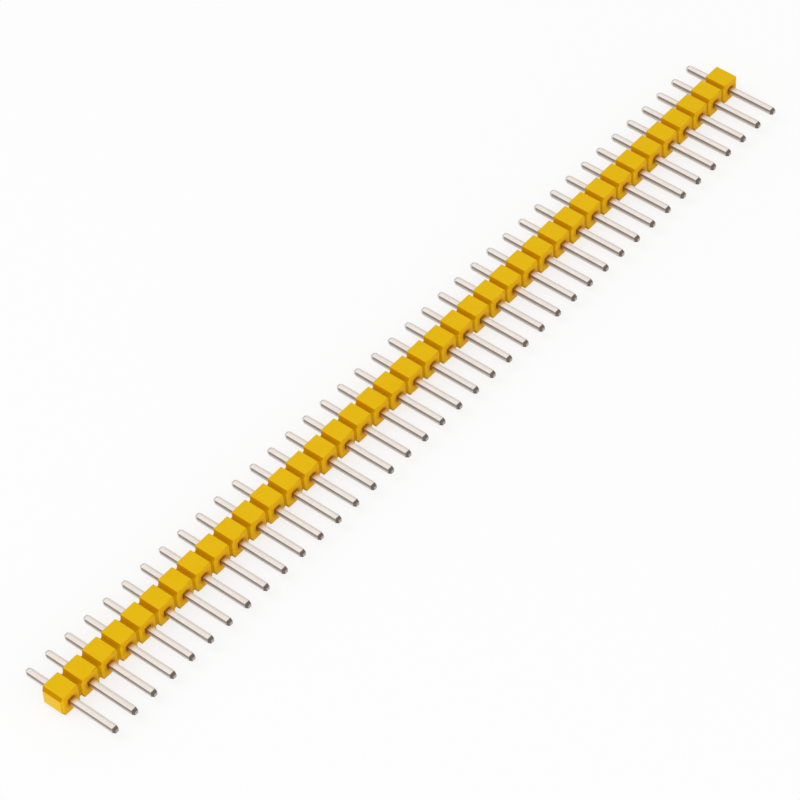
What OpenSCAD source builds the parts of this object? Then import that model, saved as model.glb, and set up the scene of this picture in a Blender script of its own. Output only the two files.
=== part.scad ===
// Pin header strip: one row of square contact pins pushed through a break-away moulded housing.
//
// Frame: +X runs along the strip, the long mating ends of the pins point to -Y, the short solder
// tails to +Y, and +Z is up. The strip lies on one long side of its housing, on the plane z = 0.
// The origin is at the middle of the whole strip's footprint. Units are millimetres.
//
// The housing is one moulding. Three outlines make it: one seen along the pins, one seen from
// above and one seen from the end. Each is drawn once and extruded, and the housing is what they
// have in common. Every pin is made the same way from two outlines, so all faces are true planes.

/* [Strip] */

// number of contacts in the row
contacts = 40; // [2:1:40]
// distance from one contact to the next
pitch = 2.54; // [2.2:0.01:4]

/* [Housing] */

// housing depth, measured along the pins
housing_depth = 2.5; // [2:0.05:4]
// housing height, from the side it lies on to the side above
housing_height = 2.5; // [2:0.05:4]
// half width of the break notch across the top and the underside, at its mouth
notch_half_width = 0.35; // [0.2:0.01:0.5]
// depth of the break notch across the top and the underside
notch_depth = 0.5; // [0.3:0.05:0.6]
// width of the flat land at the bottom of the break notch
notch_land = 0.1; // [0.04:0.02:0.2]
// half width of the shallow notch in the two faces that the pins pass through
face_notch_half_width = 0.35; // [0.2:0.01:0.4]
// depth of the shallow notch in the two faces that the pins pass through
face_notch_depth = 0.2; // [0.1:0.01:0.3]
// width of the flat land at the bottom of the shallow notch
face_notch_land = 0.3; // [0.1:0.02:0.36]
// edge break along the four long edges of the housing
edge_break = 0.1; // [0.05:0.01:0.2]
// width of the lead-in round each pin hole
lead_in = 0.12; // [0.05:0.01:0.15]
// depth of the lead-in round each pin hole
lead_in_depth = 0.15; // [0.05:0.01:0.3]

/* [Pins] */

// side of the square pin
pin_side = 0.64; // [0.5:0.01:0.7]
// length of pin that stands out on the mating side
mating_length = 5.5; // [3:0.1:14]
// length of pin that stands out on the solder side
solder_length = 3; // [2:0.1:10]
// length of the taper at the mating tip
mating_taper = 0.4; // [0.2:0.05:1]
// length of the taper at the solder tip
solder_taper = 0.3; // [0.2:0.05:1]
// side of the square left flat at each tip
tip_side = 0.42; // [0.2:0.01:0.45]

/* [Hidden] */

strip_length = contacts * pitch;
pin_length = mating_length + housing_depth + solder_length;
tip_y = -pin_length / 2;
tail_y = pin_length / 2;
face_y = tip_y + mating_length;
board_y = face_y + housing_depth;
pin_z = housing_height / 2;

// x of the middle of contact i, counted from 1
function contact_x(i) = (i - (contacts + 1) / 2) * pitch;

// x of the boundary after cell j, where 0 is the near end of the strip
function boundary_x(j) = j * pitch - strip_length / 2;

function two_digits(i) = str(i < 10 ? "0" : "", i);

// One long side of a notched outline, from -X to +X: flat over each cell, and at each boundary
// down to the notch's land. The two ends are half notches, so a strip can be snapped anywhere.
function notched_side(level, deep, half, land) = [
    for (j = [0 : contacts])
        let (x = boundary_x(j))
        each concat(
            j > 0 ? [[x - half, level], [x - land / 2, deep]] : [],
            j < contacts ? [[x + (j > 0 ? land / 2 : 0), deep], [x + half, level]] : []
        )
];

// the same side cut square at the strip's two ends
function trimmed(side) = [
    for (p = side) [max(-strip_length / 2, min(strip_length / 2, p[0])), p[1]]
];

function reversed(v) = [for (i = [len(v) - 1 : -1 : 0]) v[i]];

function end_squared(side) = let (t = trimmed(side), n = len(t))
    [for (i = [0 : n - 1]) i == n - 1 ? [strip_length / 2, t[i][1]] : t[i]];

// outline seen along the pins: a chain of cells with a deep notch above and below
module front_outline() {
    top = end_squared(notched_side(
        housing_height, housing_height - notch_depth, notch_half_width, notch_land));
    bottom = end_squared(notched_side(0, notch_depth, notch_half_width, notch_land));
    polygon(concat(top, reversed(bottom)));
}

// outline seen from above: the same chain with a shallow notch in both pin faces
module plan_outline() {
    back = end_squared(notched_side(
        board_y, board_y - face_notch_depth, face_notch_half_width, face_notch_land));
    front = end_squared(notched_side(
        face_y, face_y + face_notch_depth, face_notch_half_width, face_notch_land));
    polygon(concat(back, reversed(front)));
}

// outline seen from the end: a rectangle with its four corners broken
module end_outline() {
    e = edge_break;
    w = housing_depth;
    h = housing_height;
    polygon([
        [face_y + e, 0], [face_y + w - e, 0], [face_y + w, e], [face_y + w, h - e],
        [face_y + w - e, h], [face_y + e, h], [face_y, h - e], [face_y, e]
    ]);
}

// square hole for one pin, opened out at both faces
module pin_hole(x) {
    s = pin_side / 2;
    m = s + lead_in;
    d = lead_in_depth;
    side = [
        [face_y, m], [face_y + d, s], [board_y - d, s], [board_y, m],
        [board_y, -m], [board_y - d, -s], [face_y + d, -s], [face_y, -m]
    ];
    translate([x, 0, pin_z])
        intersection() {
            linear_extrude(height = 2 * m, center = true) polygon([for (p = side) [p[1], p[0]]]);
            rotate([90, 0, 90]) linear_extrude(height = 2 * m, center = true) polygon(side);
        }
}

module housing() {
    color([0.86, 0.66, 0.06])
        difference() {
            intersection() {
                translate([0, board_y, 0])
                    rotate([90, 0, 0])
                        linear_extrude(height = housing_depth) front_outline();
                linear_extrude(height = housing_height) plan_outline();
                translate([-strip_length / 2, 0, 0])
                    rotate([90, 0, 90])
                        linear_extrude(height = strip_length) end_outline();
            }
            for (i = [1 : contacts]) pin_hole(contact_x(i));
        }
}

// One square pin. Its side outline, with both tips tapered, is extruded across the pin in both
// directions, and the common part has four tapered faces at each tip.
module pin(i) {
    s = pin_side / 2;
    t = tip_side / 2;
    side = [
        [tip_y, t], [tip_y + mating_taper, s], [tail_y - solder_taper, s], [tail_y, t],
        [tail_y, -t], [tail_y - solder_taper, -s], [tip_y + mating_taper, -s], [tip_y, -t]
    ];
    color([0.80, 0.77, 0.73])
        translate([contact_x(i), 0, pin_z])
            intersection() {
                linear_extrude(height = pin_side, center = true)
                    polygon([for (p = side) [p[1], p[0]]]);
                rotate([90, 0, 90])
                    linear_extrude(height = pin_side, center = true) polygon(side);
            }
}

housing();
for (i = [1 : contacts])
    pin(i);
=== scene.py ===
"""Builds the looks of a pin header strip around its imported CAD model, as a Blender add-on."""

import math

import bmesh
import bpy
from mathutils import Matrix, Vector


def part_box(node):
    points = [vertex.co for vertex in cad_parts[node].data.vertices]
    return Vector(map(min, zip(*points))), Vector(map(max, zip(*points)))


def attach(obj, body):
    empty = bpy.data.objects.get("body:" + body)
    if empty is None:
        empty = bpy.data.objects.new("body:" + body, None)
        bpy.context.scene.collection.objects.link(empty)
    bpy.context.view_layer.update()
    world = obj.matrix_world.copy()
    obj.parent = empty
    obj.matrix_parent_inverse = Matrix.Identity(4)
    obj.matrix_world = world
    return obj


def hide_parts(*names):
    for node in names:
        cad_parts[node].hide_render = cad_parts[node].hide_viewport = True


bl_info = {
    "name": "Pin Header Strip",
    "version": (1, 0, 0),
    "blender": (4, 5, 0),
    "location": "View3D > Sidebar > Pin Header",
    "description": "Finishes a break-away pin header strip and sets up its studio",
    "category": "Object",
}

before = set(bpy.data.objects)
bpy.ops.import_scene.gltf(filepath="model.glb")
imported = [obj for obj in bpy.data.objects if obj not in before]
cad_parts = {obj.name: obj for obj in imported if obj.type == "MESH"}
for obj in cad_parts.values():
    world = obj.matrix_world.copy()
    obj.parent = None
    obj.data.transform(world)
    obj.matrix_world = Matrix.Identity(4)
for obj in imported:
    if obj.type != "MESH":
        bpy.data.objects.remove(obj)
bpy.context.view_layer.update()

MM = 0.001
HOUSING = "housing"
PINS = sorted(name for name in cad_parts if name.startswith("pin_"))
housing_low, housing_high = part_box(HOUSING)
pin_low, pin_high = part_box(PINS[0])

# The strip in millimetres, as the CAD has it
STRIP_LENGTH = (housing_high.x - housing_low.x) / MM
DEPTH = (housing_high.y - housing_low.y) / MM
HEIGHT = (housing_high.z - housing_low.z) / MM
MIDDLE_Y = (housing_low.y + housing_high.y) / 2 / MM
PITCH = STRIP_LENGTH / len(PINS)
PIN_SIDE = (pin_high.x - pin_low.x) / MM
PIN_Z = (pin_low.z + pin_high.z) / 2 / MM
TIP_Y = pin_low.y / MM
TAIL_Y = pin_high.y / MM

# Meshes, with lengths in metres and angles in radians
MERGE = 0.002 * MM
FLAT = math.radians(0.5)
SHARP = math.radians(12)
SHORTEST_HOUSING_EDGE = 0.1 * MM
SHORTEST_PIN_EDGE = 0.05 * MM
EDGE_SEGMENTS = 2

# Tones of the housing. Each pair of millimetres is where a tone starts and stops changing.
# painted shade in the notches and in the half notches at the ends
NOTCH_DEPTH = (0.02, 0.1)  # in from the nearest outer plane
END_WEIGHT = 2.5  # takes the notch tone down to the lower edge of the half notches at the ends
WAIST_DEPTH = (0.35, 0.5)  # in from the top or the underside, to the neck between two cells
WAIST_ACROSS = (0.6, 0.85)  # from the middle of a cell
WAIST_LIFT = 0.09  # how much less deep a shallow notch counts
WAIST_TONE = 0.8
# where the painted shade on the pin faces and the painted light on the ends fade in
SKIN_DEPTH = (0.0, 0.05)  # in from a pin face, or from an end
# painted shade round the pins
ROOT_RADIUS = (0.4, 0.9)  # from the axis of a pin
ROOT_TONE = 0.85
# painted shade along the lower edges, next to the sheet
SKIRT_HEIGHT = (0.03, 0.13)  # above the sheet
SKIRT_DEPTH = (0.04, 0.12)  # in from a pin face
SKIRT_TONE = 0.6
# wear and a painted highlight on the outer edges
WEAR_AND_HIGHLIGHT = (0.25, 0.75)  # least and most on the outer edges
PLASTIC_SPAN = (0.3, 0.7)  # of noise, from one tone to the other
PLASTIC_ROUGHNESS = (0.36, 0.48)
NOTCH_ROUGHNESS = 0.12  # on top of that in the notches
PLASTIC_GLOSS = 0.06
PLASTIC_GLOSS_TINT = (0.95, 0.7, 0.25, 1.0)

# Tones of the pins, in millimetres likewise
SHEARED = (PIN_SIDE / 2 - 0.03, PIN_SIDE / 2 - 0.004)  # to either side of the axis
# painted shade on the +X part of each flat
FAR_PART = (-0.02, 0.2)  # along +X from the axis
# painted reflection on the pins' sides
SIDE_HEIGHT = (PIN_Z - PIN_SIDE / 2, PIN_Z + 0.12)
# painted reflection of the plastic and painted shade on the pins near the housing
BESIDE_PLASTIC = (DEPTH / 2 - 0.05, DEPTH / 2 + 0.4)  # from the middle of the housing
BESIDE_PLASTIC_TONE = 0.9
TIP_CUT = (TIP_Y + 0.3, TIP_Y + 0.4)
TIP_FACE = (TIP_Y + 0.01, TIP_Y + 0.03)
TAIL_CUT = (TAIL_Y - 0.24, TAIL_Y - 0.12)
TAIL_TONE = 0.45
TIN_SPAN = (0.38, 0.62)  # of noise, from one tone to the other
DARK_TIN_ROUGHNESS = 0.06  # above the roughness in the panel
LIGHT_TIN_ROUGHNESS = -0.04  # below it
CUT_ROUGHNESS = 0.14  # on top of both on the sheared sides and the cropped ends
TIN_METALLIC = 0.82
CUT_METALLIC = -0.2  # on top of that on the cropped ends

# A speck shows where fine noise passes a level, which a larger amount brings down
SPECK_LEVEL = 0.78
SPECK_DROP = 0.2
SPECK_EDGE = 0.08
DUST = (0.86, 0.72, 0.38, 1.0)
DUST_TONE = 0.35
DIRT_TONE = 0.3

RELIEF_STRENGTH = 0.5  # of the plastic's grain and the pins' drawn lines

# Stage, in metres
AIM = Vector((-4.1, -0.3, PIN_Z)) * MM  # what the camera and the lamps point at
SENSOR_WIDTH = 36.0  # of the camera, in millimetres
CLIP_START = 0.01
SHEET_REACH = 2.0
SHEET_SQUARES = 8
KEY_SIZE = 0.5
KEY_PLACE = (-0.25, 0.30, 0.55)
FILL_SIZE = 0.6
FILL_PLACE = (-0.22, -0.58, 0.22)
WHITE = (1.0, 1.0, 1.0, 1.0)


# ---------------------------------------------------------------------------------------------
# Node building
# ---------------------------------------------------------------------------------------------


class Graph:
    """A shader node tree, with short ways of placing nodes in it and joining them up."""

    def __init__(self, tree):
        self.tree = tree

    def feed(self, socket, value):
        """Links a socket to another, or sets it to a number, a vector or a colour."""
        if isinstance(value, bpy.types.NodeSocket):
            self.tree.links.new(value, socket)
        else:
            socket.default_value = value

    def node(self, kind, inputs=None, **settings):
        """A node with its settings, and its inputs by name or number."""
        made = self.tree.nodes.new(kind)
        for name, value in settings.items():
            setattr(made, name, value)
        for key, value in (inputs or {}).items():
            self.feed(made.inputs[key], value)
        return made

    def group(self, tree, inputs):
        """One use of a node group, as its outputs."""
        return self.node("ShaderNodeGroup", inputs, node_tree=tree).outputs

    def math(self, operation, a, b=0.0):
        return self.node("ShaderNodeMath", {0: a, 1: b}, operation=operation).outputs[0]

    def vector(self, operation, inputs):
        return self.node("ShaderNodeVectorMath", inputs, operation=operation).outputs

    def blend(self, a, b, share):
        """A value between two, the first where the share is 0."""
        return self.math(
            "ADD", self.math("MULTIPLY", a, 1 - share), self.math("MULTIPLY", b, share)
        )

    def inside(self, value, middle, half):
        """How far a place lies in from the nearer of two planes."""
        return self.math(
            "SUBTRACT", half, self.math("ABSOLUTE", self.math("SUBTRACT", value, middle))
        )

    def ramp(self, value, low, high, to_low=0.0, to_high=1.0, smooth=True):
        """A value carried from one range to another, and held at both ends."""
        made = self.node(
            "ShaderNodeMapRange",
            {
                "Value": value,
                "From Min": low,
                "From Max": high,
                "To Min": to_low,
                "To Max": to_high,
            },
            interpolation_type="SMOOTHSTEP" if smooth else "LINEAR",
        )
        return made.outputs["Result"]

    def noise(self, place, scale, detail=2.0, roughness=0.5, stretch=None):
        """Soft random values, which a stretch below 1 draws out along an axis."""
        if stretch:
            place = self.vector("MULTIPLY", {0: place, 1: stretch})[0]
        made = self.node(
            "ShaderNodeTexNoise",
            {"Vector": place, "Scale": scale, "Detail": detail, "Roughness": roughness},
        )
        return made.outputs["Fac"]

    def mix(self, share, a, b):
        """A colour between two, the first where the share is 0."""
        # the node's colour sockets go by number, because its plain values have the same names
        return self.node("ShaderNodeMix", {0: share, 6: a, 7: b}, data_type="RGBA").outputs[2]

    def bump(self, height, distance):
        """A normal that follows heights from 0 to 1, where 1 stands for a distance in metres."""
        made = self.node(
            "ShaderNodeBump",
            {"Height": height, "Distance": distance, "Strength": RELIEF_STRENGTH},
        )
        return made.outputs["Normal"]

    def white_where_seen(self, plain, white, share=1.0):
        """A share of a white shader for the camera, metal and glass, and a plain one for light."""
        light = self.node("ShaderNodeLightPath").outputs
        seen = self.math("MAXIMUM", light["Is Camera Ray"], light["Is Glossy Ray"])
        seen = self.math("MAXIMUM", seen, light["Is Transmission Ray"])
        seen = self.math("MULTIPLY", seen, share)
        return self.node("ShaderNodeMixShader", {0: seen, 1: plain, 2: white}).outputs[0]


SOCKETS = {"value": "NodeSocketFloat", "vector": "NodeSocketVector"}


def node_group(name, inputs, outputs):
    """A new shader node group with named sockets, and the graph and end nodes to fill it with."""
    tree = bpy.data.node_groups.new(name, "ShaderNodeTree")
    for label, kind, default in inputs:
        made = tree.interface.new_socket(label, in_out="INPUT", socket_type=SOCKETS[kind])
        if default is not None:
            made.default_value = default
    for label, kind in outputs:
        tree.interface.new_socket(label, in_out="OUTPUT", socket_type=SOCKETS[kind])
    graph = Graph(tree)
    entry = graph.node("NodeGroupInput").outputs
    leave = graph.node("NodeGroupOutput").inputs
    return tree, graph, entry, leave


def position_group():
    """Object coordinates in millimetres, with the place across one cell of the strip."""
    tree, g, entry, leave = node_group(
        "Strip position",
        [("Position", "vector", None)],
        [
            ("Millimetres", "vector"),
            ("Offset", "value"),
            ("Across", "value"),
            ("Along", "value"),
            ("Up", "value"),
        ],
    )
    scaled = g.vector("SCALE", {0: entry["Position"], "Scale": 1 / MM})[0]
    split = g.node("ShaderNodeSeparateXYZ", {0: scaled}).outputs
    cells = g.math("ADD", g.math("DIVIDE", split["X"], PITCH), len(PINS) / 2)
    offset = g.math("MULTIPLY", g.math("SUBTRACT", g.math("FRACT", cells), 0.5), PITCH)
    g.feed(leave["Millimetres"], scaled)
    g.feed(leave["Offset"], offset)
    g.feed(leave["Across"], g.math("ABSOLUTE", offset))
    g.feed(leave["Along"], split["Y"])
    g.feed(leave["Up"], split["Z"])
    return tree


def speck_group():
    """Small sparse specks of dust and scuff, as a mask."""
    tree, g, entry, leave = node_group(
        "Specks",
        [("Position", "vector", None), ("Scale", "value", 4.0), ("Amount", "value", 0.3)],
        [("Mask", "value")],
    )
    fine = g.noise(entry["Position"], entry["Scale"], detail=4.0, roughness=0.65)
    level = g.math("SUBTRACT", SPECK_LEVEL, g.math("MULTIPLY", entry["Amount"], SPECK_DROP))
    g.feed(leave["Mask"], g.ramp(fine, level, g.math("ADD", level, SPECK_EDGE)))
    return tree


# ---------------------------------------------------------------------------------------------
# Finishes
# ---------------------------------------------------------------------------------------------


def new_material(name):
    """A material with only a Principled shader in it, its graph and that shader."""
    made = bpy.data.materials.new(name)
    made.use_nodes = True
    made.node_tree.nodes.clear()
    graph = Graph(made.node_tree)
    return made, graph, graph.node("ShaderNodeBsdfPrincipled")


def strip_place(g, position):
    """The outputs of the position group, fed with Object coordinates."""
    return g.group(position, {"Position": g.node("ShaderNodeTexCoord").outputs["Object"]})


def housing_material(look, position, specks):
    """Yellow moulded plastic: deeper in the notches by painted shade, paler on the rubbed edges by
    wear and a painted highlight, finely grained.
    """
    made, g, shader = new_material("moulded_yellow_plastic")
    place = strip_place(g, position)
    mm = place["Millimetres"]
    split = g.node("ShaderNodeSeparateXYZ", {0: mm}).outputs

    # how far in from the two ends, from the two pin faces, and from the top and the underside
    end = g.inside(split["X"], 0.0, STRIP_LENGTH / 2)
    depth = g.inside(split["Y"], MIDDLE_Y, DEPTH / 2)
    height = g.inside(split["Z"], HEIGHT / 2, HEIGHT / 2)
    hollow = g.math("MINIMUM", depth, height)
    hollow = g.math("MINIMUM", g.math("MULTIPLY", end, END_WEIGHT), hollow)
    # the painted shade stays lighter in the shallow notches of the two pin faces than in the deep
    # ones
    waist = g.math(
        "MULTIPLY", g.ramp(height, *WAIST_DEPTH), g.ramp(place["Across"], *WAIST_ACROSS)
    )
    shade = g.math("SUBTRACT", hollow, g.math("MULTIPLY", waist, WAIST_LIFT))
    lighter = g.ramp(waist, 0.0, 1.0, 1.0, WAIST_TONE)
    notch = g.math("MULTIPLY", g.ramp(shade, *NOTCH_DEPTH), lighter)

    # flow of the melt in each cell, and larger drifts along the moulding
    drift = g.noise(mm, 0.12)
    flow = g.noise(mm, 0.7)
    tone = g.ramp(g.blend(drift, flow, 0.55), *PLASTIC_SPAN)
    colour = g.mix(tone, look.plastic_low, look.plastic_high)
    # painted shade makes the pin faces a warmer tone, and painted light makes the snapped ends of
    # the strip paler
    colour = g.mix(g.ramp(depth, *SKIN_DEPTH, 1.0, 0.0), colour, look.plastic_face_shade)
    colour = g.mix(g.ramp(end, *SKIN_DEPTH, 1.0, 0.0), colour, look.plastic_end_light)
    # painted shade in the notches
    colour = g.mix(notch, colour, look.plastic_notch_shade)
    # painted shade: the plastic goes deeper in tone round the pins
    above = g.math("SUBTRACT", split["Z"], PIN_Z)
    from_pin = g.node("ShaderNodeCombineXYZ", {0: place["Across"], 2: above}).outputs[0]
    radius = g.vector("LENGTH", {0: from_pin})["Value"]
    colour = g.mix(g.ramp(radius, *ROOT_RADIUS, ROOT_TONE, 0.0), colour, look.plastic_root_shade)
    # painted shade: the lower edges are darker next to the sheet
    skirt = g.math(
        "MULTIPLY",
        g.ramp(split["Z"], *SKIRT_HEIGHT, 1.0, 0.0),
        g.ramp(depth, *SKIRT_DEPTH, 1.0, 0.0),
    )
    colour = g.mix(g.math("MULTIPLY", skirt, SKIRT_TONE), colour, look.plastic_skirt_shade)
    # handling rubs the outer edges in patches, and a painted highlight lightens the same edges
    edge = g.node("ShaderNodeAttribute", attribute_name="edge").outputs["Fac"]
    patches = g.ramp(g.noise(mm, 2.6, detail=3.0, roughness=0.6), 0.35, 0.7, *WEAR_AND_HIGHLIGHT)
    colour = g.mix(g.math("MULTIPLY", edge, patches), colour, look.plastic_edge_wear_highlight)
    dust = g.group(specks, {"Position": mm, "Scale": 7.0, "Amount": 0.35})["Mask"]
    colour = g.mix(g.math("MULTIPLY", dust, DUST_TONE), colour, DUST)
    g.feed(shader.inputs["Base Color"], colour)

    # the notches are rougher, and the surface has a fine grain and slight sink marks
    polish = g.noise(mm, 1.7, detail=3.0, roughness=0.6)
    polish = g.ramp(polish, *PLASTIC_SPAN, *PLASTIC_ROUGHNESS)
    dull = g.math("MULTIPLY", notch, NOTCH_ROUGHNESS)
    g.feed(shader.inputs["Roughness"], g.math("ADD", polish, dull))
    grain = g.noise(mm, 16.0, detail=4.0, roughness=0.6)
    sink = g.noise(mm, 1.3, detail=1.0)
    g.feed(shader.inputs["Normal"], g.bump(g.blend(grain, sink, 0.75), look.plastic_relief))
    g.feed(shader.inputs["Specular IOR Level"], PLASTIC_GLOSS)
    g.feed(shader.inputs["Specular Tint"], PLASTIC_GLOSS_TINT)
    g.node("ShaderNodeOutputMaterial", {"Surface": shader.outputs[0]})
    return made


def pin_material(look, position, specks):
    """Tin plate on square drawn pins: bright flats, duller sheared sides with a painted dark
    reflection, dark cropped ends.
    """
    made, g, shader = new_material("tin_plated_pin")
    place = strip_place(g, position)
    mm = place["Millimetres"]

    # streaks drawn out along the pin, and clouds in the plating
    streaks = g.noise(mm, 5.0, detail=4.0, roughness=0.65, stretch=(4.0, 0.18, 4.0))
    clouds = g.noise(mm, 0.9, detail=3.0, roughness=0.6)
    tone = g.ramp(g.blend(streaks, clouds, 0.5), *TIN_SPAN)
    flat = g.mix(tone, look.tin_low, look.tin_high)
    # painted shade makes the +X part of each flat a little duller, and a painted reflection makes
    # the sides bright below and dull above
    flat = g.mix(g.ramp(place["Offset"], *FAR_PART), flat, look.tin_far_shade)
    low = g.ramp(place["Up"], *SIDE_HEIGHT, 1.0, 0.0, smooth=False)
    side = g.mix(low, look.tin_side_reflection, look.tin_high)
    sheared = g.ramp(place["Across"], *SHEARED)
    colour = g.mix(sheared, flat, side)
    # a painted reflection of the plastic, with painted shade, gives the plating the plastic's
    # colour close to the housing
    from_middle = g.math("ABSOLUTE", g.math("SUBTRACT", place["Along"], MIDDLE_Y))
    root_reflection_shade = g.ramp(from_middle, *BESIDE_PLASTIC, BESIDE_PLASTIC_TONE, 0.0)
    colour = g.mix(root_reflection_shade, colour, look.tin_root_reflection_shade)
    # cropping bares the alloy on the tapers, and leaves a paler flat at the mating tip
    tip = g.ramp(place["Along"], *TIP_CUT, 1.0, 0.0)
    tail = g.ramp(place["Along"], *TAIL_CUT, 0.0, TAIL_TONE)
    cropped = g.math("MAXIMUM", tip, tail)
    colour = g.mix(cropped, colour, look.cut_end)
    colour = g.mix(g.ramp(place["Along"], *TIP_FACE, 1.0, 0.0), colour, look.cut_face)
    dirt = g.group(specks, {"Position": mm, "Scale": 5.0, "Amount": 0.4})["Mask"]
    colour = g.mix(g.math("MULTIPLY", dirt, DIRT_TONE), colour, look.cut_end)
    g.feed(shader.inputs["Base Color"], colour)

    # the sheared sides and the cropped ends are rougher, and the ends a little less metallic
    darkest = look.tin_roughness + DARK_TIN_ROUGHNESS
    lightest = look.tin_roughness + LIGHT_TIN_ROUGHNESS
    polish = g.ramp(tone, 0.0, 1.0, darkest, lightest, smooth=False)
    dull = g.math("MULTIPLY", g.math("MAXIMUM", sheared, cropped), CUT_ROUGHNESS)
    g.feed(shader.inputs["Roughness"], g.math("ADD", polish, dull))
    bare = g.math("MULTIPLY", cropped, CUT_METALLIC)
    g.feed(shader.inputs["Metallic"], g.math("ADD", bare, TIN_METALLIC))
    drawn = g.noise(mm, 9.0, detail=3.0, roughness=0.6, stretch=(3.0, 0.12, 3.0))
    lumps = g.noise(mm, 2.4)
    g.feed(shader.inputs["Normal"], g.bump(g.blend(drawn, lumps, 0.7), look.tin_relief))
    g.node("ShaderNodeOutputMaterial", {"Surface": shader.outputs[0]})
    return made


def sheet_material(look):
    """A plain pale sheet that shows white and keeps the strip's soft shadow."""
    made, g, shader = new_material("pale_sheet")
    g.feed(shader.inputs["Base Color"], look.floor)
    g.feed(shader.inputs["Roughness"], 0.9)
    g.feed(shader.inputs["Specular IOR Level"], 0.1)
    white = g.node("ShaderNodeEmission", {"Color": WHITE, "Strength": 1.0}).outputs[0]
    shown = g.white_where_seen(shader.outputs[0], white, look.floor_glow)
    g.node("ShaderNodeOutputMaterial", {"Surface": shown})
    return made


def shared_group(name, builder):
    """A node group by its name, made the first time that a material asks for it."""
    return bpy.data.node_groups.get(name) or builder()


def shared_material(name, builder, look):
    """A material by its name, made the first time that a piece asks for it."""
    position = shared_group("Strip position", position_group)
    specks = shared_group("Specks", speck_group)
    return bpy.data.materials.get(name) or builder(look, position, specks)


# ---------------------------------------------------------------------------------------------
# Pieces
# ---------------------------------------------------------------------------------------------


def merged_copy(node):
    """A bmesh of a CAD node with its loose triangles joined and its flat faces made whole."""
    bm = bmesh.new()
    bm.from_mesh(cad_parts[node].data)
    bmesh.ops.remove_doubles(bm, verts=bm.verts, dist=MERGE)
    bmesh.ops.dissolve_limit(bm, angle_limit=FLAT, verts=bm.verts, edges=bm.edges)
    return bm


def outer_edges(bm, shortest):
    """The edges that stand proud and are long enough to be rounded."""
    return [
        edge
        for edge in bm.edges
        if len(edge.link_faces) == 2
        and edge.calc_face_angle_signed(0.0) > SHARP
        and edge.calc_length() > shortest
    ]


def round_edges(bm, edges, radius):
    """Rounds edges, and marks what it makes with the attribute that the plastic reads as wear and
    a painted highlight.
    """
    rounded = bmesh.ops.bevel(
        bm,
        geom=edges,
        offset=radius,
        offset_type="OFFSET",
        segments=EDGE_SEGMENTS,
        profile=0.5,
        affect="EDGES",
        clamp_overlap=True,
        material=-1,
    )
    made = set(rounded["faces"])
    layer = bm.verts.layers.float.new("edge")
    for vert in bm.verts:
        if all(face in made for face in vert.link_faces):
            vert[layer] = 1.0


def finished_piece(name, bm, material, node):
    """Turns a bmesh into the piece that stands for a CAD node."""
    mesh = bpy.data.meshes.new(name)
    for face in bm.faces:
        face.smooth = True
    bm.to_mesh(mesh)
    bm.free()
    mesh.materials.append(material)
    piece = bpy.data.objects.new(name, mesh)
    bpy.context.scene.collection.objects.link(piece)
    shade = piece.modifiers.new("even_shading", "WEIGHTED_NORMAL")
    shade.keep_sharp = True
    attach(piece, "root")
    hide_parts(node)


# ---------------------------------------------------------------------------------------------
# Stage
# ---------------------------------------------------------------------------------------------


def lay_sheet(scene, look):
    """The pale sheet that the strip lies on."""
    bm = bmesh.new()
    bmesh.ops.create_grid(
        bm, x_segments=SHEET_SQUARES, y_segments=SHEET_SQUARES, size=SHEET_REACH
    )
    mesh = bpy.data.meshes.new("sheet")
    bm.to_mesh(mesh)
    bm.free()
    mesh.materials.append(sheet_material(look))
    sheet = bpy.data.objects.new("sheet", mesh)
    scene.collection.objects.link(sheet)


def hang_lamp(scene, name, power, size, place):
    """A square soft lamp that lights the strip, and that the plating doesn't mirror."""
    data = bpy.data.lights.new(name, "AREA")
    data.energy = power
    data.shape = "SQUARE"
    data.size = size
    lamp = bpy.data.objects.new(name, data)
    lamp.location = place
    lamp.rotation_euler = (AIM - Vector(place)).to_track_quat("-Z", "Y").to_euler()
    lamp.visible_glossy = False
    scene.collection.objects.link(lamp)


def light_sky(scene, strength):
    """An even sky that looks pure white and lights the strip more softly."""
    world = bpy.data.worlds.new("studio_sky")
    scene.world = world
    world.use_nodes = True
    world.node_tree.nodes.clear()
    g = Graph(world.node_tree)
    even = g.node("ShaderNodeBackground", {"Color": WHITE, "Strength": strength}).outputs[0]
    white = g.node("ShaderNodeBackground", {"Color": WHITE, "Strength": 1.0}).outputs[0]
    g.node("ShaderNodeOutputWorld", {"Surface": g.white_where_seen(even, white)})


def stand_camera(scene, studio):
    """Points the camera at the strip from the studio's angles, with its roll."""
    turn, rise = studio.azimuth, studio.elevation
    right = Vector((math.cos(turn), math.sin(turn), 0.0))
    back = Vector(
        (math.sin(turn) * math.cos(rise), -math.cos(turn) * math.cos(rise), math.sin(rise))
    )
    rolled = Matrix.Rotation(-studio.roll, 3, back)
    axes = Matrix((rolled @ right, rolled @ back.cross(right), back)).transposed()
    data = bpy.data.cameras.new("camera")
    data.sensor_width = SENSOR_WIDTH
    data.lens = studio.lens
    data.clip_start = CLIP_START
    camera = bpy.data.objects.new("camera", data)
    camera.matrix_world = Matrix.Translation(AIM + back * studio.distance) @ axes.to_4x4()
    scene.collection.objects.link(camera)
    scene.camera = camera


# ---------------------------------------------------------------------------------------------
# Add-on
# ---------------------------------------------------------------------------------------------


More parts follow.
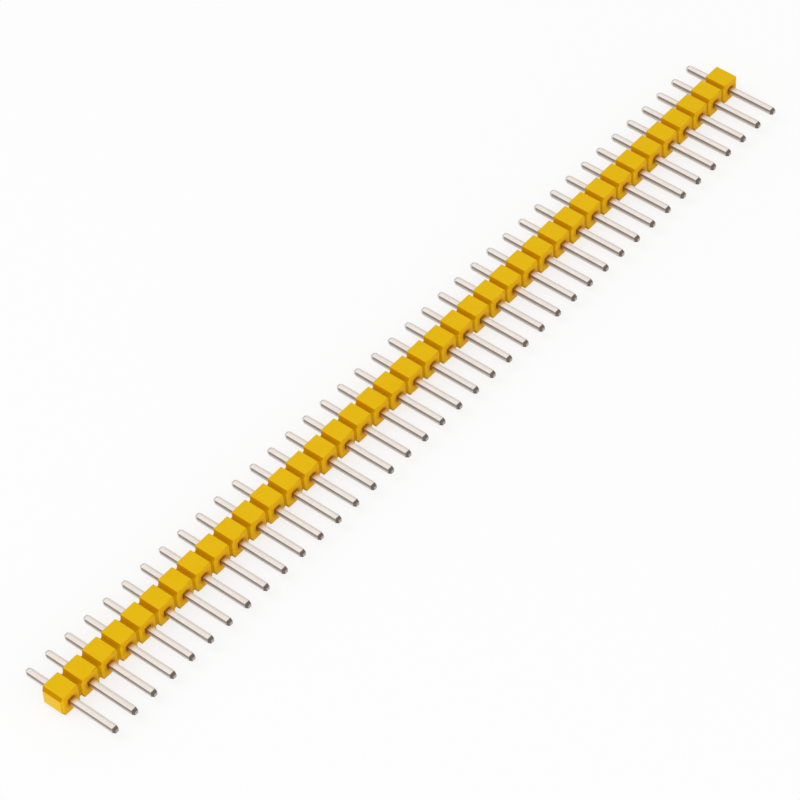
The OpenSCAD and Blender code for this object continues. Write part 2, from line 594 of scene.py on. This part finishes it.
class HeaderLook(bpy.types.PropertyGroup):
    """Sizes and colours of the finishes, among them painted shade, light, highlights and
    reflections.
    """

    housing_edge: bpy.props.FloatProperty(
        name="Housing edge",
        description="Radius that the mould leaves on the housing's outer edges, in millimetres",
        default=0.045,
        min=0.01,
        max=0.08,
    )
    pin_edge: bpy.props.FloatProperty(
        name="Pin edge",
        description="Radius along the pins' four long edges, in millimetres",
        default=0.05,
        min=0.01,
        max=0.1,
    )
    plastic_high: bpy.props.FloatVectorProperty(
        name="Plastic, light",
        description="Lighter tone of the yellow plastic",
        subtype="COLOR",
        size=4,
        default=(0.82, 0.505, 0.007, 1.0),
    )
    plastic_low: bpy.props.FloatVectorProperty(
        name="Plastic, dark",
        description="Darker tone of the yellow plastic",
        subtype="COLOR",
        size=4,
        default=(0.80, 0.485, 0.005, 1.0),
    )
    # painted shade down in the notches
    plastic_notch_shade: bpy.props.FloatVectorProperty(
        name="Plastic, deep",
        description="Tone of the plastic down in the notches",
        subtype="COLOR",
        size=4,
        default=(0.58, 0.255, 0.0, 1.0),
    )
    # painted shade on the pin faces
    plastic_face_shade: bpy.props.FloatVectorProperty(
        name="Plastic, pin faces",
        description="Tone of the plastic on the two faces that the pins pass through",
        subtype="COLOR",
        size=4,
        default=(0.81, 0.42, 0.001, 1.0),
    )
    # painted light on the ends
    plastic_end_light: bpy.props.FloatVectorProperty(
        name="Plastic, ends",
        description="Tone of the plastic at the snapped ends of the strip",
        subtype="COLOR",
        size=4,
        default=(0.90, 0.575, 0.03, 1.0),
    )
    # painted shade round the pins
    plastic_root_shade: bpy.props.FloatVectorProperty(
        name="Plastic, round the pins",
        description="Tone of the plastic on the pin faces, close to the pins",
        subtype="COLOR",
        size=4,
        default=(0.52, 0.20, 0.0, 1.0),
    )
    # painted shade along the lower edges
    plastic_skirt_shade: bpy.props.FloatVectorProperty(
        name="Plastic, lower edge",
        description="Tone of the plastic along its lower edges, next to the sheet",
        subtype="COLOR",
        size=4,
        default=(0.22, 0.12, 0.0, 1.0),
    )
    # wear and a painted highlight on the rubbed edges
    plastic_edge_wear_highlight: bpy.props.FloatVectorProperty(
        name="Plastic, edge",
        description="Tone of the plastic where its edges are rubbed",
        subtype="COLOR",
        size=4,
        default=(0.90, 0.60, 0.025, 1.0),
    )
    plastic_relief: bpy.props.FloatProperty(
        name="Plastic relief",
        description="Height of the plastic's grain and sink",
        default=0.000003,
        precision=6,
        unit="LENGTH",
    )
    tin_high: bpy.props.FloatVectorProperty(
        name="Tin, light",
        description="Lighter tone of the plating",
        subtype="COLOR",
        size=4,
        default=(0.90, 0.83, 0.765, 1.0),
    )
    tin_low: bpy.props.FloatVectorProperty(
        name="Tin, dark",
        description="Darker tone of the plating",
        subtype="COLOR",
        size=4,
        default=(0.84, 0.765, 0.70, 1.0),
    )
    # painted reflection of shade, dark on the upper part of the pins' sides
    tin_side_reflection: bpy.props.FloatVectorProperty(
        name="Tin, sides",
        description="Tone of the pins' sheared sides",
        subtype="COLOR",
        size=4,
        default=(0.28, 0.24, 0.21, 1.0),
    )
    # painted shade towards the +X edge of each pin
    tin_far_shade: bpy.props.FloatVectorProperty(
        name="Tin, far edge",
        description="Tone of the plating towards the +X edge of each pin",
        subtype="COLOR",
        size=4,
        default=(0.70, 0.63, 0.57, 1.0),
    )
    # painted reflection of the plastic and painted shade on the plating
    tin_root_reflection_shade: bpy.props.FloatVectorProperty(
        name="Tin, next to the plastic",
        description="Tone of the plating close to the housing",
        subtype="COLOR",
        size=4,
        default=(0.48, 0.25, 0.015, 1.0),
    )
    cut_end: bpy.props.FloatVectorProperty(
        name="Cut end",
        description="Tone of the bare alloy where the pins are cropped",
        subtype="COLOR",
        size=4,
        default=(0.15, 0.12, 0.10, 1.0),
    )
    cut_face: bpy.props.FloatVectorProperty(
        name="Cut face",
        description="Tone of the sheared flat at the very end of a pin",
        subtype="COLOR",
        size=4,
        default=(0.42, 0.375, 0.34, 1.0),
    )
    tin_roughness: bpy.props.FloatProperty(
        name="Tin roughness",
        description="Roughness of the plating",
        default=0.30,
        min=0.0,
        max=1.0,
        subtype="FACTOR",
    )
    tin_relief: bpy.props.FloatProperty(
        name="Tin relief",
        description="Height of the plating's drawn lines and lumps",
        default=0.000004,
        precision=6,
        unit="LENGTH",
    )
    floor: bpy.props.FloatVectorProperty(
        name="Floor",
        description="Colour of the sheet that the strip lies on",
        subtype="COLOR",
        size=4,
        default=(0.97, 0.97, 0.97, 1.0),
    )
    floor_glow: bpy.props.FloatProperty(
        name="Floor white",
        description="How far the sheet is carried to pure white where it is seen",
        default=0.75,
        min=0.0,
        max=1.0,
        subtype="FACTOR",
    )


class HeaderStudio(bpy.types.PropertyGroup):
    """Where the camera stands and how strong the lamps are."""

    azimuth: bpy.props.FloatProperty(
        name="Azimuth",
        description="Direction of the camera round the strip",
        default=math.radians(-47.8),
        subtype="ANGLE",
    )
    elevation: bpy.props.FloatProperty(
        name="Elevation",
        description="Height of the camera above the horizon",
        default=math.radians(47.8),
        subtype="ANGLE",
    )
    roll: bpy.props.FloatProperty(
        name="Roll",
        description="Turn of the picture, anticlockwise",
        default=math.radians(3.6),
        subtype="ANGLE",
    )
    distance: bpy.props.FloatProperty(
        name="Distance",
        description="From the camera to the middle of the strip",
        default=0.34,
        unit="LENGTH",
    )
    lens: bpy.props.FloatProperty(
        name="Focal length",
        description="Lens on a 36 mm wide sensor, in millimetres",
        default=161.0,
    )
    key: bpy.props.FloatProperty(
        name="Key lamp",
        description="Power of the large lamp above",
        default=0.95,
        unit="POWER",
    )
    fill: bpy.props.FloatProperty(
        name="Fill lamp",
        description="Power of the lamp at the front",
        default=1.1,
        unit="POWER",
    )
    sky: bpy.props.FloatProperty(
        name="Sky",
        description="Strength of the even light from all round",
        default=0.75,
    )


class HEADER_OT_housing(bpy.types.Operator):
    """Finish the moulded housing with rounded edges and yellow plastic"""

    bl_idname = "header.housing"
    bl_label = "Moulded housing"

    def execute(self, context):
        look = context.scene.header_look
        bm = merged_copy(HOUSING)
        round_edges(bm, outer_edges(bm, SHORTEST_HOUSING_EDGE), look.housing_edge * MM)
        plastic = shared_material("moulded_yellow_plastic", housing_material, look)
        finished_piece("moulded_housing", bm, plastic, HOUSING)
        return {"FINISHED"}


class HEADER_OT_pins(bpy.types.Operator):
    """Finish every pin with rounded edges and tin plate"""

    bl_idname = "header.pins"
    bl_label = "Contact pins"

    def execute(self, context):
        look = context.scene.header_look
        tin = shared_material("tin_plated_pin", pin_material, look)
        for node in PINS:
            bm = merged_copy(node)
            round_edges(bm, outer_edges(bm, SHORTEST_PIN_EDGE), look.pin_edge * MM)
            finished_piece("contact_" + node, bm, tin, node)
        return {"FINISHED"}


class HEADER_OT_studio(bpy.types.Operator):
    """Lay the pale sheet, set the lamps and stand the camera"""

    bl_idname = "header.studio"
    bl_label = "Studio"

    def execute(self, context):
        scene = context.scene
        studio = scene.header_studio
        scene.view_settings.view_transform = "Standard"
        lay_sheet(scene, scene.header_look)
        hang_lamp(scene, "key_lamp", studio.key, KEY_SIZE, KEY_PLACE)
        hang_lamp(scene, "fill_lamp", studio.fill, FILL_SIZE, FILL_PLACE)
        light_sky(scene, studio.sky)
        stand_camera(scene, studio)
        return {"FINISHED"}


class HEADER_PT_panel(bpy.types.Panel):
    """Lists the strip's pieces in the sidebar"""

    bl_idname = "HEADER_PT_panel"
    bl_label = "Pin Header Strip"
    bl_space_type = "VIEW_3D"
    bl_region_type = "UI"
    bl_category = "Pin Header"

    def draw(self, context):
        column = self.layout.column()
        for operator in (HEADER_OT_housing, HEADER_OT_pins, HEADER_OT_studio):
            column.operator(operator.bl_idname)
        for group in (context.scene.header_look, context.scene.header_studio):
            for name in group.__annotations__:
                column.prop(group, name)


CLASSES = (
    HeaderLook,
    HeaderStudio,
    HEADER_OT_housing,
    HEADER_OT_pins,
    HEADER_OT_studio,
    HEADER_PT_panel,
)


def register():
    for cls in CLASSES:
        bpy.utils.register_class(cls)
    bpy.types.Scene.header_look = bpy.props.PointerProperty(type=HeaderLook)
    bpy.types.Scene.header_studio = bpy.props.PointerProperty(type=HeaderStudio)


def unregister():
    del bpy.types.Scene.header_studio
    del bpy.types.Scene.header_look
    for cls in reversed(CLASSES):
        bpy.utils.unregister_class(cls)


def main():
    register()
    bpy.ops.header.housing()
    bpy.ops.header.pins()
    bpy.ops.header.studio()


if __name__ == "__main__":
    main()
